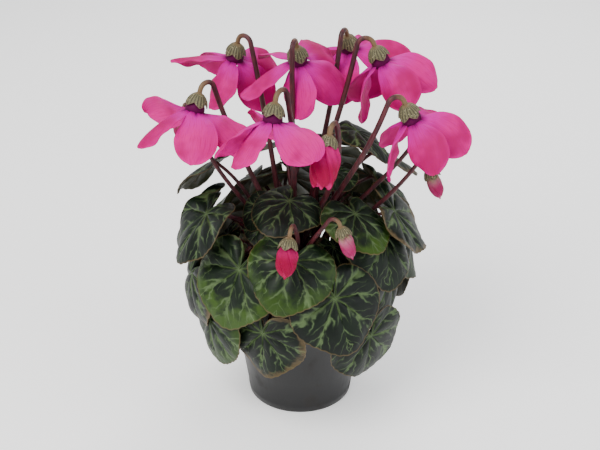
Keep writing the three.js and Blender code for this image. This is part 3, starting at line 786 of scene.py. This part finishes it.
def rough_points(flower, number, plan):
    """Corners of the flower's solid: of its petals where they are a node of their own."""
    hung, lean, twirl = plan
    if "bud" in flower:
        path = stalk_path(hung, crown_slot(flower["slot"]), lean, 6, 4)
        points = bar(path, lambda s: BUD_STALK_RADIUS * (1 - 0.12 * s), 5)[0]
        width = BUD_RADIUS * flower["plump"] * hung.scale
        return points + rough_calyx(hung) + rough_furled(hung, BUD_LENGTH * hung.scale, width, BUD_MOUTH)
    if "furled" in flower:
        return rough_furled(hung, HALF_OPEN_LENGTH, HALF_OPEN_RADIUS, HALF_OPEN_MOUTH)
    points = rough_cup(hung)
    for j in range(5):
        sheet = petal(hung, number, j, twirl, ROUGH_ROWS, 3, False)
        points += thickened(*sheet[:3], lambda n: SOLID_THICKNESS)[0]
    return points


def misfit(points, node):
    """How far the box round these points is from the box of that solid, in millimetres."""
    low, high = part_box(node)
    worst = 0
    for axis in range(3):
        held = [p[axis] for p in points]
        worst = max(worst, abs(min(held) - 1000 * low[axis]), abs(max(held) - 1000 * high[axis]))
    return worst


def settled(count, plan_at, points_at, node):
    """The plan that the solid was built from: the try whose corners fill the solid's own box."""
    best, nearest = None, 1e9
    for k in range(count + 1):
        plan = plan_at(k)
        miss = misfit(points_at(plan), node)
        if miss < nearest:
            best, nearest = plan, miss
        if miss < 0.004:
            break
    return best


def cup(body, flower, kind):
    """The short cup under the calyx that the petals spring from, with the flower's mouth in it."""
    outline = [(-6, 3.0), (-8.6, 3.6), (-9.4, 4.4), (-9.0, 5.1), (-7.6, 6.3), (-5.8, 7.2), (-4, 7.4)]
    outline += [(-2, 7.0), (-0.4, 6.3), (0.6, 5.6), (1.6, 3.4)]
    scale = flower.scale
    rings, lengthwise = [], []
    for height, radius in outline:
        rings.append([flower.round(radius * scale, TAU * s / 40, height * scale) for s in range(40)])
        lengthwise += [0.04 if height > -7 else 0.02] * 40
    points, faces = stacked(rings, flower.at(0, 0, -4 * scale), flower.at(0, 0, 2.2 * scale))
    body.add(points, faces, kind, length=lengthwise + [0.0, 0.0], breadth=0.0, tone=0.0)


def furled(body, flower, length, width, mouth, kind):
    """Petals still wound round each other, each edge lying over the next petal."""
    sides, steps = 80, 36
    is_open = mouth > 0.4
    rings, lengthwise, crosswise = [], [], []
    for n in range(steps):
        share = 1.0 - 0.97 * n / (steps - 1)
        if share > 0.35:
            belly = mouth + (1 - mouth) * cos(0.5 * pi * ((share - 0.35) / 0.65) ** 1.7) ** 0.75
        else:
            belly = 0.62 + 0.38 * sin(0.5 * pi * share / 0.35)
        lowest = max(0.0, (share - 0.75) / 0.25)
        ring = []
        for s in range(sides):
            spin = TAU * s / sides
            lap = (5 * spin / TAU) % 1
            step = 0.84 + 0.16 * min(1, lap / 0.1) * (1 - 0.55 * lap)
            pleat = 1 - 0.1 * mouth * cos(10 * spin + 1.2)
            drop = 1.6 * lowest * sin(5 * spin + 0.8) * is_open
            r = width * belly * step * pleat
            ring.append(flower.round(r, spin + 1.5 * share, 1 - length * share - drop))
            lengthwise.append(share)
            crosswise.append(2 * lap - 1)
        rings.append(ring)
    point = 0.86 if is_open else 1.06
    points, faces = stacked(rings, flower.at(0, 0, -point * length), flower.at(0, 0, 1.5))
    body.add(points, faces, kind, length=lengthwise + [1.0, 0.0], breadth=crosswise + [0.0, 0.0], tone=1.0)


def petal_finish(name, light, deep, violet, root, edge, root_end):
    """Petal skin: light and deep parts and fine dark veins along it, a stained root and a paler hem."""
    made, shade = surface(name, Specular_IOR_Level=0.08, Subsurface_Weight=0.1, Subsurface_Scale=0.002)
    length = shade.value("length")
    breadth = shade.value("breadth")
    tone = shade.value("tone")
    flush = shade.cloud(52.0)
    threads = shade.cloud(2.6, 4.0, shade.together(breadth * 9.0, length * 1.4, tone * 5.0))
    fine = shade.cloud(3.0, 3.0, shade.together(breadth * 34.0, length * 2.0, tone))
    wash = shade.tint((flush + 0.35 * (tone - 0.5)).smooth(0.32, 0.68), light, deep)
    shoulder = (length + 0.3 * (flush - 0.5)).smooth(0.6, 0.12)
    bluish = shade.tint(shoulder * 0.75, wash, violet)
    veined = shade.tint(threads.smooth(0.46, 0.72) * 0.5 + fine.smooth(0.5, 0.75) * 0.3, bluish, deep)
    heel = (length + 0.24 * (threads - 0.5) + 0.12 * abs(breadth)).smooth(root_end, 0.02)
    rooted = shade.tint(heel, veined, root)
    hem = (abs(breadth) + 0.5 * length.smooth(0.82, 1.0)).smooth(0.8, 1.15)
    feed(
        made,
        Base_Color=shade.tint(hem * 0.45, rooted, edge),
        Roughness=0.52 + 0.16 * fine,
        Normal=shade.bump(0.7 * fine + 0.3 * threads, 0.2),
    )
    return made


bloom_pink = petal_finish(
    "petal", (200, 0, 126), (160, 0, 88), (192, 0, 154), (78, 0, 56), (210, 6, 140), 0.24
)
furled_pink = petal_finish(
    "furled petal", (204, 4, 104), (140, 0, 56), (184, 6, 110), (76, 4, 40), (222, 36, 130), 0.12
)
bud_pale = petal_finish(
    "pale bud petal", (172, 76, 120), (140, 20, 76), (166, 110, 124), (132, 124, 90), (190, 120, 146), 0.4
)
bud_red = petal_finish(
    "red bud petal", (192, 0, 84), (134, 0, 52), (180, 10, 96), (104, 16, 50), (210, 30, 110), 0.36
)

for number, flower in enumerate(FLOWERS):
    name, is_bud = flower["name"], "bud" in flower
    node = name if is_bud else name + "_petals"
    hung, lean, twirl = settled(
        BLOOM_TRIES,
        lambda k: flower_plan(flower, number, k),
        lambda plan: rough_points(flower, number, plan),
        node,
    )
    thick = BUD_STALK_RADIUS if is_bud else STALK_RADIUS
    stalk = Body()
    path = stalk_path(hung, crown_slot(flower["slot"]), lean, 30, 16)
    points, faces, shares = bar(path, lambda s: thick * (1 - 0.12 * s), 14)
    stalk.add(points, faces, 0, along=shares, rib=0.0, climb=0.0)
    calyx(stalk, hung, 1)
    if is_bud:
        width = BUD_RADIUS * flower["plump"] * hung.scale
        furled(stalk, hung, BUD_LENGTH * hung.scale, width, BUD_MOUTH, 2)
        skin = bud_red if flower["plump"] > 1 else bud_pale
        stalk.make(name + "_whole", [stem, sepal, skin], "bud", node)
        continue
    stalk.make(name + "_stem", [stem, sepal], "stalk", name + "_stalk")
    corolla = Body()
    if "furled" in flower:
        furled(corolla, hung, HALF_OPEN_LENGTH, HALF_OPEN_RADIUS, HALF_OPEN_MOUTH, 0)
        corolla.make(name + "_corolla", [furled_pink], "petal", node)
        continue
    cup(corolla, hung, 0)
    for j in range(5):
        *sheet, lengthwise, crosswise = petal(hung, number, j, twirl, FINE_ROWS, FINE_COLUMNS, True)
        both, top, back, rim = thickened(*sheet, lambda n: PETAL_THICKNESS)
        tone = draw(number, j)
        corolla.add(both, top + back + rim, 0, length=lengthwise * 2, breadth=crosswise * 2, tone=tone)
    corolla.make(name + "_corolla", [bloom_pink], "petal", node)

# -------------------- Leaves
# Heart-shaped fleshy blades, each on a maroon stalk from the tuber, lie over each other like tiles on a
# dome. They are blackish green with pale feathered veins, silvery marbling and a thin scalloped edge.
LEAF_COUNT = 36
LEAF_TIP_LENGTH = 48
CANOPY_RADIUS = 95
CANOPY_RISE = 127
CANOPY_LEVEL = 124
FIRST_POLAR = 21
LAST_POLAR = 115
STEEPEST_LEAF = 92
LEAF_THICKNESS = 0.6
LEAF_MIDDLE = 0.9
SOLID_MIDDLE = 2.4
PETIOLE_RADIUS = 1.7
LEAF_TRIES = 300
LEAF_SEED = 1300
SPARE_SLOTS = 8
VEINS = 9
VEIN_ANGLE = TAU / VEINS


def outline(angle):
    """The blade's reach from its stalk in each direction, the tip at angle 0."""
    away = pi - abs(angle)
    tip = 0.86 + 0.14 * exp(-((angle / 0.38) ** 2))
    back = 1 - 0.42 * ((1 - cos(angle)) / 2) ** 2.2
    return tip * back * (1 - 0.84 * exp(-((away / 0.32) ** 2)))


taken = [flower["slot"] for flower in FLOWERS]
free_slots = [n for n in range(LEAF_COUNT + len(FLOWERS) + SPARE_SLOTS) if n not in taken]
leaf_slots = []
for i in range(LEAF_COUNT):
    near = max(range(min(10, len(free_slots))), key=lambda n: cos((free_slots[n] - i) * GOLDEN_ANGLE))
    leaf_slots.append(free_slots.pop(near))


class Leaf:
    """Where a leaf stands and how it is bent. Polar runs from the crown down the dome of leaves."""

    def __init__(self, item, azimuth, polar, shell, droop, yaw, roll, size, arch):
        outward = spoke(azimuth)
        around = UP.cross(outward)
        lay = cos(droop) * outward - sin(droop) * UP
        face = sin(droop) * outward + cos(droop) * UP
        self.midrib = cos(yaw) * lay + sin(yaw) * around
        level = face.cross(self.midrib)
        self.normal = cos(roll) * face + sin(roll) * level
        self.side = self.normal.cross(self.midrib)
        radius = CANOPY_RADIUS * shell * sin(min(polar, pi / 2)) ** 0.85
        centre = radius * outward + (CANOPY_LEVEL + CANOPY_RISE * shell * cos(polar)) * UP
        self.size = size
        self.joint = centre - 0.3 * size * self.midrib
        self.arch = arch
        self.side_bend = -0.2 + 0.2 * swing(item, 27)
        self.tip_bend = -0.16 + 0.12 * swing(item, 28)
        self.lobe_bend = -0.04 + 0.1 * swing(item, 29)
        self.wave = 0.055 + 0.03 * swing(item, 30)
        self.waves = 4 + int(3 * draw(item, 31))
        self.phase = TAU * draw(item, 32)
        self.item = item

    def at(self, angle, share, lift=0, stretch=1):
        reach = outline(angle) * share * stretch
        x = reach * cos(angle)
        y = reach * sin(angle)
        bow = self.side_bend * y * y + (self.tip_bend if x > 0 else self.lobe_bend) * x * x
        ripple = self.wave * share**3 * sin(self.waves * angle + self.phase)
        off = bow + ripple + lift
        return self.joint + self.size * (x * self.midrib + y * self.side + off * self.normal)


def leaf_plan(i, k):
    """Leaf i at the k-th try to bend it clear of the others."""
    bend = k / LEAF_TRIES
    share = (i + 0.5) / LEAF_COUNT
    item = LEAF_SEED + i
    first = cos(radians(FIRST_POLAR))
    spread = first - share * (first - cos(radians(LAST_POLAR)))
    polar = acos(spread) + radians(24 * bend * swing(item, 500 + k))
    azimuth = i * GOLDEN_ANGLE + radians(6 * swing(item, 21) + 32 * bend * swing(item, 700 + k))
    young = i < 12 and i % 3 == 1
    inner = 0.66 if young else 0.86 if i % 4 == 2 else 1
    shell = inner * (1 + 0.03 * swing(item, 22) - 0.26 * bend * draw(item, 900 + k))
    loose = radians(6 * swing(item, 23) + 24 * bend * swing(item, 1100 + k))
    droop = min((0.42 + 0.24 * polar) * polar + loose, radians(STEEPEST_LEAF))
    yaw = radians(26 * swing(item, 24) + 20 * bend * swing(item, 1300 + k))
    roll = radians(10 * swing(item, 25) + 20 * bend * swing(item, 1500 + k))
    growth = (0.6 if young else 1) * (0.8 + 0.24 * share**0.6 + 0.07 * swing(item, 26))
    arch = 0.12 + 0.2 * share**2 + 0.24 * bend * draw(item, 1700 + k)
    size = LEAF_TIP_LENGTH * growth * (1 - 0.14 * bend)
    return Leaf(item, azimuth, polar, shell, droop, yaw, roll, size, arch)


ROUGH_ANGLES = [-2.84, -2.45, -1.95, -1.45, -0.95, -0.45, 0, 0.45, 0.95, 1.45, 1.95, 2.45, 2.84, pi]


def blade_faces(rings, count):
    """Faces of that many rings of corners round the joint, which is the first corner of all."""
    faces = [(0, 1 + s, 1 + (s + 1) % count) for s in range(count)]
    for ring in range(rings - 1):
        for s in range(count):
            a = 1 + ring * count + s
            b = 1 + ring * count + (s + 1) % count
            faces.append((a, a + count, b + count, b))
    return faces


def rough_blade(leaf, middle, edge):
    """The corners and faces of the solid's own blade, that thick in its middle and elsewhere."""
    points = [leaf.joint] + [leaf.at(angle, share) for share in (0.55, 1) for angle in ROUGH_ANGLES]
    return thickened(points, blade_faces(2, 14), list(range(15, 29)), lambda n: edge if n else middle)


def petiole(leaf, slot, steps, radius_at, sides):
    """The leaf's stalk, from its slot on the tuber to the joint under its blade."""
    foot, way = slot
    start = foot + 2 * way
    end = leaf.joint - 0.3 * leaf.normal
    arrive = (0.78 * leaf.normal + 0.62 * leaf.midrib).normalized()
    far = (end - start).length
    one = start + 0.35 * far * way + leaf.arch * far * UP
    two = end - 0.34 * far * arrive
    path = [foot + FIT_GAP * way] + [bezier(start, one, two, end, n / steps) for n in range(steps + 1)]
    return bar(path, radius_at, sides)


def scallop(angle, item):
    """The small round teeth of the blade's edge, as a share of its reach."""
    teeth = 38
    tooth = abs(sin(0.5 * teeth * angle + 3 * draw(item, 60)))
    quiet = min(1, (pi - abs(angle)) / 0.35)
    return 1 + (0.018 * tooth - 0.012 + 0.006 * sin(5 * angle + 9 * draw(item, 61))) * quiet


FINE_TURNS = 144
FINE_RINGS = [0.05, 0.11, 0.18, 0.26, 0.34, 0.42, 0.5, 0.58, 0.66, 0.74, 0.81, 0.87, 0.92, 0.96, 0.985, 1.0]


def fine_blade(leaf):
    """The blade's middle sheet, quilted between its veins, and what its surface needs to know."""
    points, ray, reach_to, rim_share = [leaf.joint + 0.5 * leaf.normal], [0.0], [0.0], [0.0]
    curl = 0.04 + 0.07 * swing(leaf.item, 33)
    for share in FINE_RINGS:
        for s in range(FINE_TURNS):
            a = TAU * (s + 1) / FINE_TURNS - pi
            angle = a - 0.13 * share * sin(a)
            lane = abs(a) / VEIN_ANGLE
            off = abs(lane - round(lane))
            quilt = 0.042 * sin(pi * off) ** 0.7 * sin(pi * min(1, share * 1.05)) ** 0.6
            roll = -curl * share**6 * (1 + sin(2 * a + leaf.phase))
            spot = spoke(a, 3.4 * share, leaf.item)
            pucker = 0.022 * share * noise.noise(spot) + 0.008 * share * noise.noise(3.1 * spot)
            points.append(leaf.at(angle, share, quilt + roll + pucker, scallop(angle, leaf.item)))
            ray.append(lane)
            reach_to.append(outline(angle) * share)
            rim_share.append(share)
    return points, ray, reach_to, rim_share


def leaf_finish(name, dark, green, silver, vein, edge, fresh, contrast):
    """Leaf skin: pale veins with twigs off them, silver clouds along both, dark between, a thin dry edge."""
    made, shade = surface(name, Specular_IOR_Level=0.19)
    tone = shade.value("tone")
    reach = shade.value("reach")
    rim = shade.value("rim")
    drift = shade.cloud(48.0, 3.0)
    speck = shade.cloud(210.0, 5.0)
    cloud = shade.cloud(110.0, 3.0)
    ray = shade.value("ray") + 0.8 * (drift - 0.5) + 0.3 * (cloud - 0.5)
    lane = (ray + 0.5).fract() - 0.5
    vein_number = ray - lane
    side = lane.math("GREATER_THAN", lane, 0.0)
    across = abs(lane) * reach * VEIN_ANGLE
    step = 0.23
    climb = (reach - 1.5 * across + 0.16 * (cloud - 0.5)) / step + 0.5 * side + 0.37 * vein_number
    twig_off = abs(climb.fract() - 0.5) * step
    ends = reach.smooth(0.16, 0.32) * (across / reach).smooth(0.36, 0.22)
    main_line = (across / (1.3 - reach)).smooth(0.026, 0.002)
    twig_line = twig_off.smooth(0.017, 0.001) * ends
    halo = across.smooth(0.075, 0.0) * reach.smooth(0.1, 0.34) + twig_off.smooth(0.06, 0.0) * ends * 0.75
    zone = (reach + 0.4 * (drift - 0.5)).smooth(0.16, 0.4) * (reach + 0.3 * (cloud - 0.5)).smooth(0.98, 0.74)
    marble = (halo * zone * cloud.smooth(0.36, 0.62)).smooth(0.0, 1.0)
    ground = shade.tint(drift.smooth(0.34, 0.7) * 0.5 + 0.4 * tone * tone, dark, green)
    aged = shade.tint(tone.smooth(0.86, 0.98) * (reach + cloud).smooth(1.0, 1.4) * 0.8, ground, fresh)
    frosted = shade.tint(marble * contrast, aged, silver)
    twigged = shade.tint(twig_line * speck.smooth(0.3, 0.6) * 0.5 * contrast, frosted, vein)
    veined = shade.tint(main_line * 0.7, twigged, vein)
    dry = (rim + 0.5 * (cloud - 0.5)).smooth(0.84, 0.97) * tone.smooth(0.24, 0.1)
    withered = shade.tint(dry * 0.8, veined, edge)
    hem = (rim + 0.02 * (speck - 0.5)).smooth(0.97, 0.996)
    feed(
        made,
        Base_Color=shade.tint(hem * 0.75, withered, edge),
        Roughness=0.38 + 0.14 * speck + 0.08 * drift,
        Normal=shade.bump(0.7 * speck + 0.5 * (1 - main_line) + 0.3 * (1 - twig_line), 0.4, 0.8),
    )
    return made


leaf_top = leaf_finish(
    "leaf top", (2, 8, 4), (10, 27, 9), (76, 95, 60), (80, 100, 60), (84, 70, 44), (52, 78, 16), 0.8
)
leaf_back = leaf_finish(
    "leaf back", (50, 52, 36), (74, 76, 50), (86, 90, 68), (96, 78, 62), (92, 78, 50), (100, 102, 44), 0.3
)


def dressed_leaf(name, leaf, slot, tone, *nodes):
    """The finished leaf, its upper side, its back and its stalk each in their own skin."""
    body = Body()
    points, ray, reach_to, rim_share = fine_blade(leaf)
    rings = len(FINE_RINGS)
    faces = blade_faces(rings, FINE_TURNS)
    border = list(range(1 + (rings - 1) * FINE_TURNS, 1 + rings * FINE_TURNS))
    both, top, back, rim = thickened(points, faces, border, lambda n: LEAF_THICKNESS if n else LEAF_MIDDLE)
    kinds = [0] * len(top) + [1] * len(back) + [0] * len(rim)
    body.add(both, top + back + rim, kinds, ray=ray * 2, reach=reach_to * 2, rim=rim_share * 2, tone=tone,
             along=0.9)
    thick = PETIOLE_RADIUS * min(1, leaf.size / 30)
    points, faces, shares = petiole(leaf, slot, 22, lambda s: thick * (1 - 0.15 * s), 10)
    body.add(points, faces, 2, along=[0.8 * s for s in shares], ray=0.0, reach=0.0, rim=0.0, tone=0.0)
    body.make(name, [leaf_top, leaf_back, stem], "leaf", *nodes, crease=70)


def rough_leaf(leaf, slot):
    """The corners of the solid's own leaf, its blade and its stalk."""
    stalk = petiole(leaf, slot, 5, lambda s: PETIOLE_RADIUS, 5)[0]
    return rough_blade(leaf, SOLID_MIDDLE, SOLID_THICKNESS)[0] + stalk


for i in range(LEAF_COUNT):
    node = "leaf_%02d" % (i + 1)
    slot = crown_slot(leaf_slots[i])
    leaf = settled(LEAF_TRIES, lambda k: leaf_plan(i, k), lambda plan: rough_leaf(plan, slot), node)
    dressed_leaf(node + "_blade", leaf, slot, draw(i, 40), node)

# -------------------- Young leaves
# Small leaves still on their way up stand in the open crown among the stalks. Each is set down where its
# plain shape touches nothing that is there; once rippled, it may graze a neighbour.
YOUNG_COUNT = 8
YOUNG_TRIES = 900
YOUNG_SEED = 3000
YOUNG_ROOM = 3


def young_plan(n, k):
    """Young leaf n at the k-th try to find it a clear place."""
    item = YOUNG_SEED + n
    polar = radians(8 + 74 * draw(item, 100 + k))
    azimuth = free_slots[n] * GOLDEN_ANGLE + radians(70 * swing(item, 1100 + k))
    shell = 0.46 + 0.4 * draw(item, 2100 + k)
    droop = 0.5 * polar + radians(16 * swing(item, 3100 + k))
    yaw = radians(40 * swing(item, 4100 + k))
    roll = radians(20 * swing(item, 5100 + k))
    size = LEAF_TIP_LENGTH * (0.62 - 0.34 * k / YOUNG_TRIES)
    return Leaf(item, azimuth, polar, shell, droop, yaw, roll, size, 0.2)


grown = []
for thing in bpy.context.scene.objects:
    if thing.name.endswith(("_blade", "_stem", "_corolla", "_whole")):
        corners = [1000 * v.co for v in thing.data.vertices]
        grown.append(BVHTree.FromPolygons(corners, [list(face.vertices) for face in thing.data.polygons]))
for n in range(YOUNG_COUNT):
    slot = crown_slot(free_slots[n])
    for k in range(YOUNG_TRIES):
        leaf = young_plan(n, k)
        both, top, back, rim = rough_blade(leaf, YOUNG_ROOM, YOUNG_ROOM)
        stalk_points, stalk_faces, shares = petiole(leaf, slot, 8, lambda s: 1.4 * PETIOLE_RADIUS, 6)
        blade_tree = BVHTree.FromPolygons(both, top + back + rim)
        stalk_tree = BVHTree.FromPolygons(stalk_points, stalk_faces)
        if not any(blade_tree.overlap(other) or stalk_tree.overlap(other) for other in grown):
            grown.extend([blade_tree, stalk_tree])
            dressed_leaf("young_leaf_%d" % (n + 1), leaf, slot, draw(n, 41))
            break

# -------------------- Floor and light
# A plain pale floor that glows a little, so that it stays pale. A broad soft light stands above on the left,
# weaker ones on the right and behind, and the sky is pale.
floor_mesh = bpy.data.meshes.new("floor")
floor_mesh.from_pydata([(-4, -4, 0), (4, -4, 0), (4, 4, 0), (-4, 4, 0)], [], [(0, 1, 2, 3)])
floor = placed("floor", floor_mesh)
floor_paint, shade = surface("floor", Base_Color=colour(250, 250, 250), Roughness=0.8, Specular_IOR_Level=0.2,
                             Emission_Color=colour(255, 255, 255), Emission_Strength=0.35)
floor_mesh.materials.append(floor_paint)


def softbox(name, place, size, power, warmth):
    """A round soft light that looks at the plant."""
    light = bpy.data.lights.new(name, "AREA")
    light.shape = "DISK"
    light.size = size
    light.energy = power
    light.color = warmth
    lamp = placed(name, light)
    lamp.location = place
    lamp.rotation_euler = (LOOK_AT - Vector(place)).to_track_quat("-Z", "Y").to_euler()


softbox("key", (-0.7, -0.9, 1.5), 1.2, 36, (1.0, 0.98, 0.95))
softbox("fill", (1.2, -0.6, 0.8), 1.2, 9, (0.95, 0.97, 1.0))
softbox("rear", (0.3, 1.2, 1.2), 1.0, 14, (1.0, 1.0, 1.0))
sky = bpy.data.worlds.new("sky")
sky.use_nodes = True
sky.node_tree.nodes["Background"].inputs["Color"].default_value = colour(244, 245, 247)
sky.node_tree.nodes["Background"].inputs["Strength"].default_value = 0.85
bpy.context.scene.world = sky
